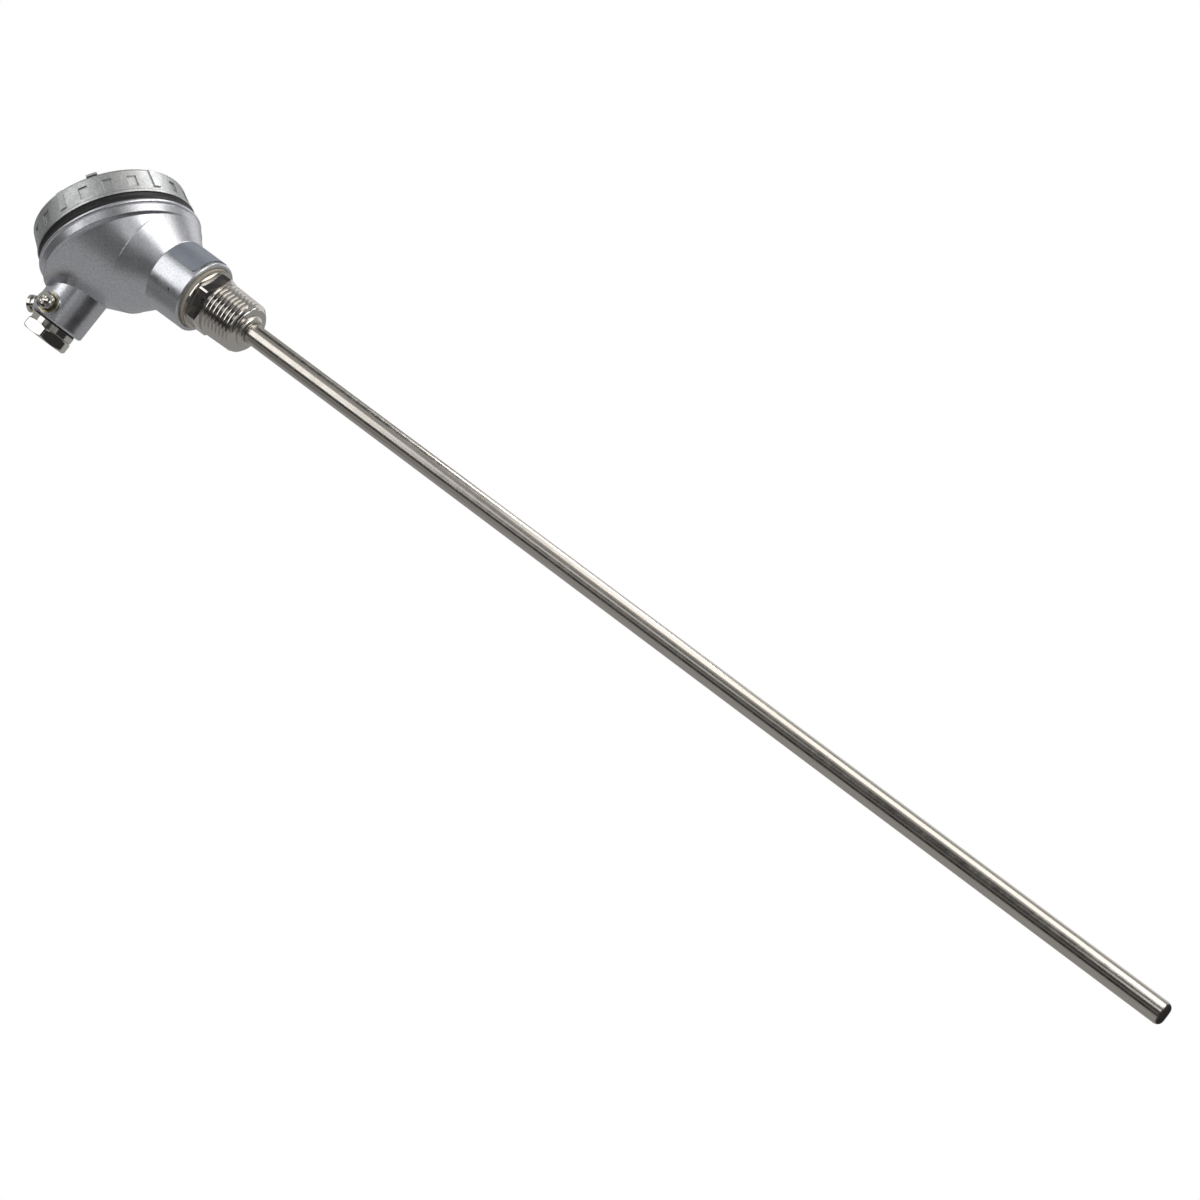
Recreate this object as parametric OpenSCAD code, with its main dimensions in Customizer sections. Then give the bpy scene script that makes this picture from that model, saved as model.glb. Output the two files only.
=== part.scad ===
// Resistance thermometer probe with a slanted screw-cap connection head.
// +Z runs along the probe from its tip to the head. The origin is on the axis, in the end
// face of the process thread, where the sheath leaves the fitting. The cap leans to -X and
// the conduit boss points along +X.

/* [Sheath] */
// Outside diameter of the sheath
sheath_d = 8; // [6:0.5:10]
// Length of the sheath below the end of the process thread
sheath_len = 400; // [80:5:600]
// Wall of the sheath tube
sheath_wall = 1; // [0.5:0.1:1.5]
// Radius of the rounded edge at the closed tip
tip_round = 2.2; // [0.5:0.1:2.8]
// Height to which the sheath runs up inside the fitting
sheath_top = 30; // [24:0.5:32]

/* [Sensing element] */
// Diameter of the ceramic sensing element
element_d = 2.8; // [1.5:0.1:3.4]
// Length of the ceramic sensing element
element_len = 25; // [10:1:40]
// Diameter of the four-bore insulator
insulator_d = 5.2; // [4.2:0.1:5.6]
// Diameter of the conductors inside the insulator
conductor_d = 0.6; // [0.3:0.05:0.8]

/* [Process fitting] */
// Thread diameter at the hexagon
thread_d = 21.3; // [20.8:0.1:21.6]
// Length of the process thread
thread_len = 15.4; // [12:0.1:20]
// Thread pitch
thread_pitch = 1.814; // [1.2:0.001:2.2]
// Depth of the thread
thread_depth = 1.1; // [0.6:0.05:1.4]
// Width of the hexagon across its flats
hex_af = 21; // [21:0.5:24]
// Diameter that the hexagon's corners are turned down to
hex_turned_d = 23.8; // [23:0.1:26]
// Height of the hexagon
hex_h = 5.9; // [4:0.1:10]
// Diameter of the thread that screws into the neck
neck_thread_d = 20.6; // [18:0.1:21]
// Length of the thread in the neck
neck_thread_len = 12; // [8:0.5:14]

/* [Neck and bell] */
// Diameter of the neck
neck_d = 29; // [28:0.1:31]
// Height of the cylindrical neck
neck_h = 16.2; // [14:0.1:20]
// Gap between the hexagon and the end face of the neck
neck_gap = 1.9; // [1:0.1:3]
// Diameter of the bell at its crease with the cup
bell_d = 44.4; // [42:0.1:47]
// Height of the conical bell
bell_h = 9.9; // [8:0.1:12]

/* [Cup] */
// Lean of the cup's cone, between the neck and the rim
cup_tilt = 12; // [11:0.1:13]
// Half angle of the cup's cone
cup_angle = 32.3; // [31.5:0.1:33.5]
// Offset of the cone's apex from the probe axis
cup_apex_x = 10.2; // [9.5:0.1:11]
// Depth of the cone's apex below the crease
cup_apex_drop = 33.5; // [32.5:0.1:34.5]

/* [Rim] */
// Lean of the rim from the horizontal
rim_tilt = 30; // [20:0.5:32]
// Offset of the rim's centre from the probe axis
rim_x = 3.3; // [0:0.1:5]
// Height of the rim's centre above the crease
rim_rise = 17; // [16:0.1:22]
// Diameter of the rim over its bead
rim_d = 62; // [60:0.1:66]
// Thickness of the rim flange
rim_h = 5.8; // [4:0.1:7]
// Height of the threaded collar inside the cap
collar_h = 7.6; // [6:0.1:7.8]
// Outside diameter of the threaded collar
collar_d = 54.4; // [50:0.1:55]
// Wall of the threaded collar
collar_wall = 2.9; // [2:0.1:3.5]
// Wall of the cast housing
wall = 3.4; // [2.6:0.1:4]

/* [Cap] */
// Cap diameter at its lower edge
cap_d = 60.4; // [59.6:0.1:61.6]
// Cap diameter at its upper edge
cap_top_d = 58.4; // [57.6:0.1:60]
// Height of the cap
cap_h = 10.8; // [10.4:0.1:14]
// Thickness of the cap's top
cap_t = 2.4; // [1.5:0.1:3]
// Number of grip places around the cap
grip_places = 20; // [16:4:24]
// Every how many places a full-height rib stands in place of a pocket
rib_every = 4; // [2:1:5]
// Depth of a grip pocket
pocket_depth = 0.8; // [0.4:0.05:1]
// Thickness of the cap's gasket
gasket_t = 3.4; // [2:0.1:4]
// Height of the grip bar on the cap's top
bar_h = 0.8; // [0.5:0.1:2]

/* [Conduit boss] */
// Diameter of the conduit boss
boss_d = 22; // [21:0.1:24]
// Distance from the probe axis to the end of the boss
boss_reach = 41.4; // [40:0.1:46]
// Height of the boss axis above the crease
boss_rise = 18.2; // [17.6:0.1:19]
// Diameter of the thread in the boss
conduit_d = 16; // [14:0.5:17]
// Diameter of the cable way behind the thread
cable_way_d = 11; // [8:0.5:12]

/* [Gland] */
// Width of the gland screw across its flats
gland_af = 17; // [16:0.5:18]
// Height of the gland screw's hexagon
gland_hex_h = 4.6; // [3:0.1:7]
// Diameter of the cable hole in the gland screw
cable_hole_d = 8.6; // [6:0.1:9.6]
// Thickness of the rubber grommet
grommet_t = 4; // [3:0.1:5]

/* [Terminals] */
// Diameter of the ceramic terminal block
block_d = 33; // [30:0.1:33]
// Thickness of the ceramic terminal block
block_t = 6.5; // [5:0.1:8]
// Diameter of the circle that the terminal screws stand on
terminal_pcd = 21; // [20:0.1:22]
// Diameter of a lead wire over its insulation
wire_d = 1.4; // [1:0.1:1.6]

/* [Screws] */
// Diameter of the screw heads on the outside
head_d = 6.8; // [6:0.1:7.6]
// Height of the screw heads on the outside
head_h = 2.5; // [2:0.1:3]
// Thread diameter of the screws on the outside
screw_d = 4; // [3:0.1:4.5]
// Distance from the end of the boss to the earth screw
earth_inset = 4.8; // [4.5:0.1:7]

/* [Hidden] */

$fn = 96;
// Radial clearance of a turned or threaded fit
fit = 0.08;
// Gap between cast or moulded pieces that only sit together
seat = 0.3;
// Overlap that lets joined volumes merge
eps = 0.02;

// Process fitting, upwards from the thread's end face
hex_z = thread_len;
hex_top = hex_z + hex_h;
neck_z = hex_top + neck_gap;
collar_ring_h = 0.8;
hex_turn = 38;
weld_r = 1.7;
// The sheath is turned down where it sits in the fitting, from just below the weld
seat_r = sheath_d / 2 - 0.5;
seat_drop = weld_r + 0.05;
gland_turn = 5;
washer_recess = 1.2;
washer_d = 25;
nipple_top = neck_z + neck_thread_len;
nipple_bore = seat_r + fit;

// Housing, upwards from the neck's end face
neck_r = neck_d / 2;
neck_top = neck_z + neck_h;
crease_z = neck_top + bell_h;
bell_r = bell_d / 2;
rim_z = crease_z + rim_rise;
rim_r = rim_d / 2;
cup_r = rim_r - 1.8;
collar_r = collar_d / 2;
mouth_r = collar_r - collar_wall;
floor_z = crease_z - 2.2;
way_r = 8;
boss_z = crease_z + boss_rise;
boss_r = boss_d / 2;
boss_chamfer = 0.7;

// Conduit boss and gland, outwards along +X
conduit_r = conduit_d / 2;
grommet_x = boss_reach - 13.4;
washer_x = grommet_x + grommet_t;
gland_washer_t = 1.2;
gland_seal_t = 0.8;
gland_collar_r = 8.8;
gland_collar_h = 2.2;
gland_hex_x = boss_reach + gland_seal_t + gland_collar_h;

// Terminal block and its fastenings
block_z = floor_z + 2.8;
block_top = block_z + block_t;
block_screw_x = 12.6;
block_screw_d = 3;
counterbore_h = 2.5;
post_r = 3.2;
plate = [6.4, 7.6, 2.2];
terminal_screw_d = 3;
plate_sink = 0.8;
plate_top = block_top - plate_sink + plate[2];
tail_d = 0.8;
tail_y = terminal_screw_d / 2 + tail_d / 2 + 0.2;
tail_len = 6.2;
strip_x = 6.6;
wire_z = plate_top + tail_d / 2;
terminal_washer_d = 5.6;
terminal_washer_t = 0.8;
terminal_head_d = 5.4;
terminal_head_h = 2;
terminal_angles = [45, 135, 225, 315];

// Washers under the outside screws
flat_t = 0.8;
spring_t = 1;
pad_h = 0.7;
pad_r = 4.3;
earth_x = boss_reach - earth_inset;
side_x = boss_reach - 1.8;
side_lean = 30;
// How deep the two outside screws reach into the boss
earth_bite = boss_r + pad_h - conduit_r - fit - 0.2;
side_bite = 2.2;
side_seat_z = boss_z + boss_r + 0.5;
lug_r = 2.9;

// Places of the assemblies that don't stand on the probe axis
module at_rim() translate([rim_x, 0, rim_z]) rotate([0, -rim_tilt, 0]) children();
module at_boss(x) translate([x, 0, boss_z]) rotate([0, 90, 0]) children();
module at_earth_screw() translate([earth_x, boss_r + pad_h, boss_z]) rotate([-90, 0, 0]) children();
module at_side_screw() translate([side_x, 0, side_seat_z]) rotate([0, side_lean, 0]) children();
module at_terminal(i) rotate([0, 0, terminal_angles[i]]) translate([terminal_pcd / 2, 0, 0]) children();

// Shapes that repeat
module tube(r_out, r_in, h) {
    difference() {
        cylinder(r = r_out, h = h);
        translate([0, 0, -1]) cylinder(r = r_in, h = h + 2);
    }
}

// A hexagonal prism cut from a round bar, turned off at 30 degrees at both ends
module chamfered_hex(af, corner_r, h) {
    drop = (corner_r - af / 2 + 0.2) * tan(30);
    intersection() {
        cylinder(r = af / 2 / cos(30), h = h, $fn = 6);
        rotate_extrude() polygon([
            [0, 0], [af / 2 - 0.2, 0], [corner_r, drop], [corner_r, h - drop], [af / 2 - 0.2, h], [0, h]
        ]);
    }
}

// A pan-head screw with a cross recess: its head stands on z = 0 and its shank points down
module pan_screw(d, head, height, shank) {
    difference() {
        union() {
            translate([0, 0, -shank]) cylinder(d = d, h = shank + eps);
            intersection() {
                cylinder(d = head, h = height);
                translate([0, 0, height - head * 0.78]) sphere(r = head * 0.78);
            }
        }
        for (turn = [0, 90])
            rotate([0, 0, turn]) translate([-head * 0.28, -head * 0.07, height * 0.4])
                cube([head * 0.56, head * 0.14, height]);
    }
}

// A split spring washer
module spring_washer(r_out, r_in, h) {
    difference() {
        tube(r_out, r_in, h);
        rotate([0, 0, 40]) translate([0, -0.35, -1]) cube([r_out + 1, 0.7, h + 2]);
    }
}

// Sheath and what it holds

module sheath() {
    color("silver") difference() {
        rotate_extrude() union() {
            translate([0, -sheath_len + tip_round]) square([sheath_d / 2, sheath_len - tip_round - seat_drop]);
            translate([0, -seat_drop - eps]) square([seat_r, seat_drop + sheath_top + eps]);
            intersection() {
                translate([sheath_d / 2 - tip_round, -sheath_len + tip_round]) circle(r = tip_round);
                translate([0, -sheath_len]) square([sheath_d / 2, tip_round + eps]);
            }
            translate([0, -sheath_len]) square([max(eps, sheath_d / 2 - tip_round), tip_round + eps]);
        }
        translate([0, 0, -sheath_len + 2.5])
            cylinder(d = sheath_d - 2 * sheath_wall, h = sheath_len + sheath_top);
    }
}

module sensing_element() {
    color("white") translate([0, 0, -sheath_len + 3]) cylinder(d = element_d, h = element_len, $fn = 32);
}

insulator_z = -sheath_len + 3 + element_len + 1;
insulator_top = sheath_top - 5;
bore_pcd = insulator_d * 0.46;

module insulator() {
    color("ivory") difference() {
        translate([0, 0, insulator_z]) cylinder(d = insulator_d, h = insulator_top - insulator_z, $fn = 48);
        for (angle = terminal_angles)
            rotate([0, 0, angle]) translate([bore_pcd / 2, 0, insulator_z - 1])
                cylinder(r = conductor_d / 2 + fit, h = insulator_top - insulator_z + 2, $fn = 24);
    }
}

module conductors() {
    start_z = insulator_z - 0.8;
    color("lightgray") for (angle = terminal_angles)
        rotate([0, 0, angle]) translate([bore_pcd / 2, 0, start_z])
            cylinder(d = conductor_d, h = insulator_top - start_z, $fn = 24);
}

// Resin that closes the sheath and holds the lead wires
module sheath_seal() {
    color("darkred") difference() {
        translate([0, 0, insulator_top]) cylinder(d = sheath_d - 2 * sheath_wall - fit, h = sheath_top - insulator_top);
        for (angle = terminal_angles)
            rotate([0, 0, angle]) translate([bore_pcd / 2, 0, insulator_top + 1])
                cylinder(d = wire_d, h = sheath_top, $fn = 24);
    }
}

// Lead wires, from the seal up to the terminals

// Route of one wire, given as distance outwards, distance sideways and height
wire_route = [
    [bore_pcd / 2, 0, insulator_top + 1], [bore_pcd / 2, 0, sheath_top + 2], [1.6, 0.3, 40], [1.8, 0.6, 50],
    [1.8, 0.8, block_top - 0.6], [2, 1, block_top + 0.8], [2.6, 1.3, block_top + 1.6],
    [3.6, 1.7, wire_z], [5, 1.95, wire_z], [strip_x, tail_y, wire_z]
];

// A round bar swept along a path, its rings square to the path
module swept(path, r, sides = 8) {
    last = len(path) - 1;
    points = [
        for (i = [0 : last])
            let (
                run = path[min(i + 1, last)] - path[max(i - 1, 0)],
                side = cross(run, [0, 1, 0]) / norm(cross(run, [0, 1, 0])),
                up = cross(run, side) / norm(run)
            )
            for (k = [0 : sides - 1])
                path[i] + r * (cos(k * 360 / sides) * side + sin(k * 360 / sides) * up)
    ];
    polyhedron(points = points, faces = concat(
        [[for (k = [0 : sides - 1]) sides - 1 - k]],
        [
            for (i = [0 : last - 1], k = [0 : sides - 1])
                let (a = i * sides + k, b = i * sides + (k + 1) % sides)
                [a, b, b + sides, a + sides]
        ],
        [[for (k = [0 : sides - 1]) last * sides + k]]
    ));
}

module lead_wires() {
    color("white") for (angle = terminal_angles) rotate([0, 0, angle]) swept(wire_route, wire_d / 2);
}

// Bare ends of the wires, clamped beside the terminal screws
module wire_tails() {
    color("silver") for (angle = terminal_angles)
        rotate([0, 0, angle]) translate([strip_x, tail_y, wire_z]) rotate([0, 90, 0])
            cylinder(d = tail_d, h = tail_len, $fn = 24);
}

// Process fitting

function thread_crest(z) = thread_d / 2 - (thread_len - z) / 32;

module hex_nipple() {
    turns = floor((thread_len - 2.6) / thread_pitch);
    start_z = thread_len - 1 - turns * thread_pitch;
    color("silver") difference() {
        union() {
            rotate_extrude() polygon(concat(
                [[0, 0], [thread_d / 2 - 2.2, 0], [thread_crest(start_z) - thread_depth, start_z]],
                [for (i = [0 : turns - 1], k = [0 : 3])
                    let (z = start_z + (i + [0.1, 0.45, 0.55, 0.9][k]) * thread_pitch)
                    [thread_crest(z) - (k == 0 || k == 3 ? thread_depth : 0), z]],
                [[thread_crest(thread_len) - thread_depth, thread_len + eps], [0, thread_len + eps]]
            ));
            translate([0, 0, hex_z]) rotate([0, 0, hex_turn]) chamfered_hex(hex_af, hex_turned_d / 2, hex_h);
            translate([0, 0, hex_top - eps]) cylinder(d = washer_d - 0.8, h = collar_ring_h + eps);
            translate([0, 0, hex_top]) cylinder(d = neck_thread_d, h = nipple_top - hex_top);
            // Weld bead around the sheath
            rotate_extrude() translate([sheath_d / 2 + 0.6, 0.1]) circle(r = weld_r, $fn = 48);
        }
        translate([0, 0, 0.5]) cylinder(r = nipple_bore, h = nipple_top);
        // The weld closes on the sheath
        translate([0, 0, -3]) cylinder(r = seat_r, h = 4);
        // Chamfer inside the upper thread, so that the wires bend freely
        translate([0, 0, nipple_top - 3]) cylinder(r1 = nipple_bore, r2 = nipple_bore + 3 + eps, h = 3 + eps);
    }
}

module neck_washer() {
    color("ivory") translate([0, 0, hex_top + collar_ring_h])
        tube(washer_d / 2, neck_thread_d / 2 + fit, neck_gap - collar_ring_h + washer_recess);
}

// Housing

// Neck and conical bell, turned about the probe axis
module neck_and_bell() {
    bevel = 0.5;
    rotate_extrude() polygon([
        [0, neck_z], [neck_r - bevel - 0.15, neck_z], [neck_r - 0.15, neck_z + bevel],
        [neck_r, neck_top], [bell_r, crease_z], [bell_r - 2, crease_z + 1], [0, crease_z + 1]
    ]);
}

// The cup is a leaning cone, cut off above by the rim's plane and below by a level plane
module cup(inset, z_low, drop) {
    cone_h = 70;
    intersection() {
        translate([cup_apex_x, 0, crease_z - cup_apex_drop]) rotate([0, -cup_tilt, 0])
            translate([0, 0, inset / sin(cup_angle)]) cylinder(r1 = 0, r2 = cone_h * tan(cup_angle), h = cone_h);
        translate([0, 0, z_low]) cylinder(r = 60, h = 60);
        at_rim() translate([0, 0, -60 - drop]) cylinder(r = 60, h = 60);
    }
}

// Rim flange with its bead and band, and the threaded collar that stands on it
module rim() {
    bead_r = 1;
    at_rim() rotate_extrude() union() {
        translate([rim_r - bead_r, -bead_r]) circle(r = bead_r, $fn = 48);
        polygon([
            [mouth_r - 2, -rim_h], [cup_r, -rim_h], [rim_r - 0.9, -rim_h + 0.6], [rim_r - 0.4, -2.4],
            [rim_r - bead_r, -2.1], [rim_r - bead_r, 0], [mouth_r - 2, 0]
        ]);
        translate([mouth_r - 2, -eps]) square([collar_r - mouth_r + 2, collar_h + eps]);
    }
}

module conduit_boss() {
    at_boss(0) rotate_extrude() polygon([
        [0, 12], [boss_r + 0.2, 12], [boss_r, boss_reach - boss_chamfer],
        [boss_r - boss_chamfer, boss_reach], [0, boss_reach]
    ]);
    translate([earth_x, 0, boss_z]) rotate([-90, 0, 0]) cylinder(r = pad_r, h = boss_r + pad_h);
    at_side_screw() translate([0, 0, -5]) cylinder(r = lug_r, h = 5);
}

module housing_hollow() {
    cup(wall, floor_z, rim_h - 1);
    // Room for the terminal block, where the rim leans in over it
    translate([0, 0, floor_z]) cylinder(r = block_d / 2 + 2 * seat, h = 1.5 * block_t);
    at_rim() translate([0, 0, -rim_h]) cylinder(r = mouth_r, h = rim_h + collar_h + 1);
    translate([0, 0, nipple_top]) cylinder(r = way_r, h = crease_z - nipple_top);
    translate([0, 0, neck_z - 1]) cylinder(d = neck_thread_d + 2 * fit, h = neck_thread_len + 2);
    translate([0, 0, neck_z - 1]) cylinder(d = washer_d + 2 * seat, h = washer_recess + 1);
}

module conduit_bore() {
    at_boss(grommet_x) cylinder(r = conduit_r + fit, h = boss_reach);
    at_boss(0) cylinder(d = cable_way_d, h = boss_reach);
}

module housing() {
    color("silver") difference() {
        union() {
            difference() {
                union() {
                    neck_and_bell();
                    cup(0, crease_z - eps, rim_h - 0.5);
                    rim();
                    conduit_boss();
                }
                housing_hollow();
            }
            for (side = [-1, 1])
                translate([side * block_screw_x, 0, floor_z - 1]) cylinder(r = post_r, h = block_z - floor_z + 1);
        }
        conduit_bore();
        for (side = [-1, 1])
            translate([side * block_screw_x, 0, floor_z - 0.5]) cylinder(d = block_screw_d + 2 * fit, h = 10, $fn = 48);
        at_earth_screw() translate([0, 0, -5]) cylinder(d = screw_d + 2 * fit, h = 10, $fn = 48);
        at_side_screw() translate([0, 0, -5]) cylinder(d = screw_d + 2 * fit, h = 10, $fn = 48);
    }
}

// Blank printed label wrapped around the neck
module neck_label() {
    label_t = 0.15;
    label_h = 14;
    color("lightsteelblue") rotate([0, 0, 108]) rotate_extrude(angle = 78)
        translate([neck_r + 0.02, neck_top - label_h - 0.4]) square([label_t, label_h]);
}

// Cap and its gasket

module cap_gasket() {
    r_out = cap_d / 2 - 0.1;
    r_in = collar_r + seat;
    color("black") at_rim() rotate_extrude() polygon([
        [r_in, 0], [r_out - 0.3, 0], [r_out, 0.6], [r_out - 0.3, gasket_t / 2],
        [r_out, gasket_t - 0.6], [r_out - 0.3, gasket_t], [r_in, gasket_t]
    ]);
}

module cap_shell() {
    edge = 1.2;
    lip_h = 1;
    lower_r = cap_d / 2;
    upper_r = cap_top_d / 2;
    difference() {
        rotate_extrude() union() {
            polygon([
                [0, 0], [lower_r, 0], [lower_r, lip_h], [lower_r - 0.3, lip_h + 0.3],
                [upper_r, cap_h - edge], [upper_r - edge, cap_h - edge], [upper_r - edge, cap_h], [0, cap_h]
            ]);
            translate([upper_r - edge, cap_h - edge]) circle(r = edge, $fn = 48);
        }
        translate([0, 0, -1]) cylinder(r = collar_r + seat, h = cap_h - cap_t + 1);
    }
}

module cap() {
    place = 360 / grip_places;
    first_rib = 77;
    pocket_w = 3.5;
    pocket_z = 2.6;
    pocket_h = 4.8;
    rib_w = 2.8;
    rib_raise = 0.35;
    draft = atan((cap_d - cap_top_d) / 2 / cap_h);
    floor_r = cap_top_d / 2 - pocket_depth + 0.4;
    color("silver") at_rim() translate([0, 0, gasket_t]) {
        difference() {
            union() {
                cap_shell();
                for (i = [0 : grip_places - 1])
                    if (i % rib_every == 0)
                        rotate([0, 0, first_rib + i * place]) translate([cap_d / 2 - 2, -rib_w / 2, 2.4])
                            rotate([0, -draft, 0]) cube([rib_raise + 1.8, rib_w, cap_h - 3.2]);
            }
            for (i = [0 : grip_places - 1])
                if (i % rib_every != 0)
                    rotate([0, 0, first_rib + i * place]) translate([floor_r, -pocket_w / 2, pocket_z])
                        cube([3, pocket_w, pocket_h]);
        }
        // Grip bar across the top
        rotate([0, 0, first_rib + 1.5 * place]) intersection() {
            translate([-cap_top_d / 2, -2.1, cap_h - eps]) cube([cap_top_d, 4.2, bar_h + eps]);
            cylinder(r = cap_top_d / 2, h = cap_h + bar_h + 1);
        }
    }
}

// Gland, outwards along +X

module grommet() {
    color("dimgray") at_boss(grommet_x) tube(conduit_r, cable_hole_d / 2 - 0.6, grommet_t);
}

module gland_washer() {
    color("silver") at_boss(washer_x) tube(conduit_r - seat, cable_hole_d / 2, gland_washer_t);
}

module gland_seal() {
    color("black") at_boss(boss_reach) tube(gland_collar_r - 0.2, conduit_r + seat, gland_seal_t);
}

module gland_screw() {
    shank_x = washer_x + gland_washer_t;
    color("gainsboro") at_boss(0) difference() {
        union() {
            translate([0, 0, shank_x]) cylinder(r = conduit_r, h = gland_hex_x - shank_x);
            translate([0, 0, boss_reach + gland_seal_t]) cylinder(r = gland_collar_r, h = gland_collar_h + eps);
            translate([0, 0, gland_hex_x]) rotate([0, 0, gland_turn]) chamfered_hex(gland_af, gland_af * 0.565, gland_hex_h);
        }
        translate([0, 0, shank_x - 1]) cylinder(d = cable_hole_d, h = gland_hex_x + gland_hex_h);
    }
}

// Earth screw and side screw with their washers

module earth_flat_washer() {
    color("goldenrod") at_earth_screw() tube(pad_r - 0.3, screw_d / 2 + fit, flat_t);
}

module earth_spring_washer() {
    color("gray") at_earth_screw() translate([0, 0, flat_t]) spring_washer(head_d / 2, screw_d / 2 + fit, spring_t);
}

module earth_screw() {
    color("gainsboro") at_earth_screw() translate([0, 0, flat_t + spring_t])
        rotate([0, 0, 20]) pan_screw(screw_d, head_d, head_h, flat_t + spring_t + earth_bite);
}

module side_flat_washer() {
    color("gainsboro") at_side_screw() tube(head_d / 2 - 0.2, screw_d / 2 + fit, flat_t);
}

module side_spring_washer() {
    color("gray") at_side_screw() translate([0, 0, flat_t]) spring_washer(head_d / 2 - 0.6, screw_d / 2 + fit, spring_t);
}

module side_screw() {
    color("gainsboro") at_side_screw() translate([0, 0, flat_t + spring_t])
        pan_screw(screw_d, head_d, head_h, flat_t + spring_t + side_bite);
}

// Terminal block

module terminal_block() {
    color("white") difference() {
        translate([0, 0, block_z]) cylinder(d = block_d, h = block_t);
        translate([0, 0, block_z - 1]) cylinder(d = 7, h = block_t + 2);
        for (side = [-1, 1]) translate([side * block_screw_x, 0, block_z - 1]) {
            cylinder(d = 3.6, h = block_t + 2, $fn = 48);
            translate([0, 0, 1 + block_t - counterbore_h]) cylinder(d = 6.4, h = 4, $fn = 48);
        }
        for (i = [0 : 3]) at_terminal(i) {
            translate([-plate[0] / 2 - 0.1, -plate[1] / 2 - 0.1, block_top - plate_sink])
                cube([plate[0] + 0.2, plate[1] + 0.2, 3]);
            translate([0, 0, block_z + 1]) cylinder(d = terminal_screw_d + 1, h = block_t, $fn = 48);
        }
    }
}

module terminal_plates() {
    color("gold") for (i = [0 : 3]) at_terminal(i) difference() {
        translate([-plate[0] / 2, -plate[1] / 2, block_top - plate_sink]) cube(plate);
        translate([0, 0, block_z]) cylinder(r = terminal_screw_d / 2 + fit, h = block_t + 4, $fn = 48);
    }
}

module block_screws() {
    color("gainsboro") for (side = [-1, 1])
        translate([side * block_screw_x, 0, block_top - counterbore_h])
            pan_screw(block_screw_d, 5.6, 2, block_t - counterbore_h + 3);
}

module terminal_washer(i) {
    color("gold") at_terminal(i) translate([0, 0, plate_top + tail_d])
        tube(terminal_washer_d / 2, terminal_screw_d / 2 + fit, terminal_washer_t);
}

module terminal_screw(i) {
    color("gold") at_terminal(i) translate([0, 0, plate_top + tail_d + terminal_washer_t])
        pan_screw(terminal_screw_d, terminal_head_d, terminal_head_h, plate[2] + tail_d + terminal_washer_t + 2);
}

module terminal_washer_1() terminal_washer(0);
module terminal_washer_2() terminal_washer(1);
module terminal_washer_3() terminal_washer(2);
module terminal_washer_4() terminal_washer(3);
module terminal_screw_1() terminal_screw(0);
module terminal_screw_2() terminal_screw(1);
module terminal_screw_3() terminal_screw(2);
module terminal_screw_4() terminal_screw(3);

cap();
cap_gasket();
housing();
neck_label();
hex_nipple();
neck_washer();
sheath();
sheath_seal();
sensing_element();
insulator();
conductors();
lead_wires();
wire_tails();
terminal_block();
terminal_plates();
block_screws();
terminal_washer_1();
terminal_washer_2();
terminal_washer_3();
terminal_washer_4();
terminal_screw_1();
terminal_screw_2();
terminal_screw_3();
terminal_screw_4();
gland_seal();
gland_screw();
gland_washer();
grommet();
earth_flat_washer();
earth_spring_washer();
earth_screw();
side_flat_washer();
side_spring_washer();
side_screw();
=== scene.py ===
import math

import bpy
from mathutils import Matrix, Vector


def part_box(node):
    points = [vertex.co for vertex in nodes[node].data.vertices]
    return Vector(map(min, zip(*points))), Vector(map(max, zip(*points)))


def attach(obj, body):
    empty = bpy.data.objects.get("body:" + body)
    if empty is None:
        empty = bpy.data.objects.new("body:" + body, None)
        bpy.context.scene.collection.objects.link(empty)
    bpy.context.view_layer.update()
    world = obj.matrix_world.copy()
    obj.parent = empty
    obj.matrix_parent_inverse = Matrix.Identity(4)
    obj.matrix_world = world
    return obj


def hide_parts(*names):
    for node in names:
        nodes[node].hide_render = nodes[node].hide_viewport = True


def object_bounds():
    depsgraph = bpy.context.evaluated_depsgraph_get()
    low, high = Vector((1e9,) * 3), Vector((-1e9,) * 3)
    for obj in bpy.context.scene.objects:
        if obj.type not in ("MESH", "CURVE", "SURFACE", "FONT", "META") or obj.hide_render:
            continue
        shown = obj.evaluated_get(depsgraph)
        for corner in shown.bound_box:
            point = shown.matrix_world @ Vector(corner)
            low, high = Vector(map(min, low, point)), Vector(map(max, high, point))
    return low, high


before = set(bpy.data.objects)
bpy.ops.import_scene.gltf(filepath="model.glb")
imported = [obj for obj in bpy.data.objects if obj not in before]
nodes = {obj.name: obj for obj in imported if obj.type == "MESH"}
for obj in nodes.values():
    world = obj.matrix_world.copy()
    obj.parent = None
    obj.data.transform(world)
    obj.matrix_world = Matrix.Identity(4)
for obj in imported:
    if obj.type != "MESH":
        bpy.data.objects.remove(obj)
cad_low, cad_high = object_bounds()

# ---------------------------------------------------------------------------
# Camera
# It looks at the probe from its side and a little from below, turned so that
# the sheath runs from the head at the upper left down to its tip at the lower
# right.
MM = 0.001
scene = bpy.context.scene
scene.view_settings.view_transform = "Standard"


def stand(thing, centre, right, back):
    """Puts a camera or lamp at centre, facing away from back, with right on its right."""
    up = back.cross(right)
    thing.matrix_world = Matrix(
        (
            (right.x, up.x, back.x, centre.x),
            (right.y, up.y, back.y, centre.y),
            (right.z, up.z, back.z, centre.z),
            (0, 0, 0, 1),
        )
    )


camera_data = bpy.data.cameras.new("camera")
camera_data.lens = 66
camera_data.sensor_width = 36
camera_data.clip_end = 20
camera = bpy.data.objects.new("camera", camera_data)
scene.collection.objects.link(camera)
scene.camera = camera
camera_place = Vector((29.12, 703.69, -423.87)) * MM
camera_right = Vector((-0.60936, -0.24611, -0.75373)).normalized()
camera_back = Vector((0.03645, 0.94091, -0.33669)).normalized()
stand(camera, camera_place, camera_right, camera_back)

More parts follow.
